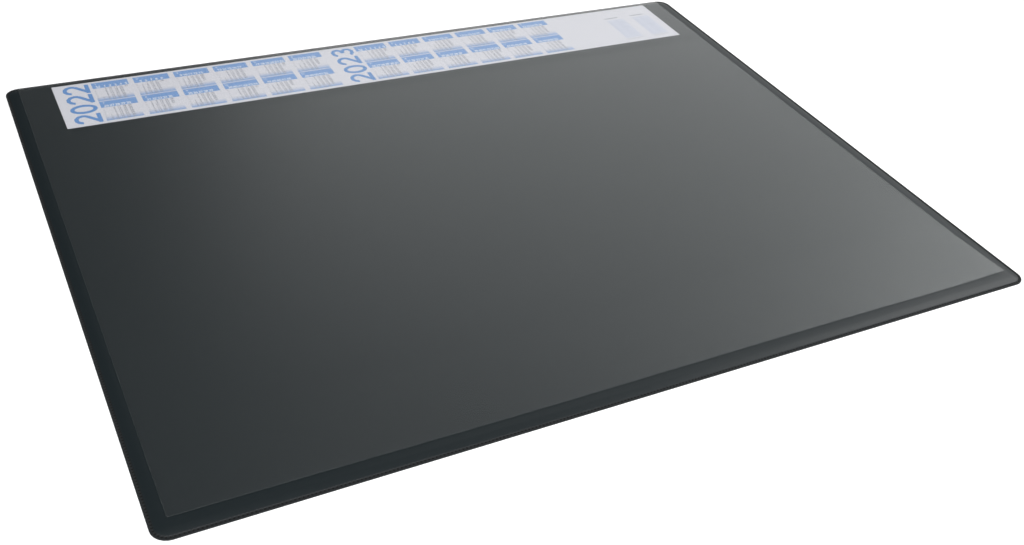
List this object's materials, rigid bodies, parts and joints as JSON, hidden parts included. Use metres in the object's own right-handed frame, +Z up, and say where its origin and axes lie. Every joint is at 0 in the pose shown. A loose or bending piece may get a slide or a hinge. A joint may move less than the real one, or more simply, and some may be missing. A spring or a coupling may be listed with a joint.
{
  "type": "desk pad calendar",
  "caption": "Large padded desk mat with a stitch-look welded rim, a two-year calendar strip along the back and a clear matt overlay film.",
  "frame": {"origin": "on the desk, under the centre of the mat", "axes": "+X along the long side, +Y towards the calendar at the back, +Z up from the desk"},
  "size_m": [0.65, 0.52, 0.0044],
  "materials": {
    "cover_plastic": "fine embossed satin, black",
    "core_foam": "closed-cell foam, black",
    "backing_plastic": "non-slip, fine ribbed, black",
    "card": "matt card, white",
    "blue_ink": "offset print, mid blue",
    "pale_ink": "offset print, pale lilac",
    "clear_film": "clear film with an anti-glare matt face"
  },
  "bodies": {
    "root": {"backing_sheet": "backing_plastic", "foam_core": "core_foam", "cover_sheet": "cover_plastic", "calendar_strip": "card", "numeral_2022_1": "blue_ink", "numeral_2022_2": "blue_ink", "numeral_2022_3": "blue_ink", "numeral_2022_4": "blue_ink", "numeral_2023_1": "blue_ink", "numeral_2023_2": "blue_ink", "numeral_2023_3": "blue_ink", "numeral_2023_4": "blue_ink", "month_2022_01": "blue_ink", "month_2022_02": "blue_ink", "month_2022_03": "blue_ink", "month_2022_04": "blue_ink", "month_2022_05": "blue_ink", "month_2022_06": "blue_ink", "month_2022_07": "blue_ink", "month_2022_08": "blue_ink", "month_2022_09": "blue_ink", "month_2022_10": "blue_ink", "month_2022_11": "blue_ink", "month_2022_12": "blue_ink", "month_2023_01": "blue_ink", "month_2023_02": "blue_ink", "month_2023_03": "blue_ink", "month_2023_04": "blue_ink", "month_2023_05": "blue_ink", "month_2023_06": "blue_ink", "month_2023_07": "blue_ink", "month_2023_08": "blue_ink", "month_2023_09": "blue_ink", "month_2023_10": "blue_ink", "month_2023_11": "blue_ink", "month_2023_12": "blue_ink", "pale_table_1": "pale_ink", "pale_table_2": "pale_ink", "clear_overlay": "clear_film"}
  },
  "joints": []
}
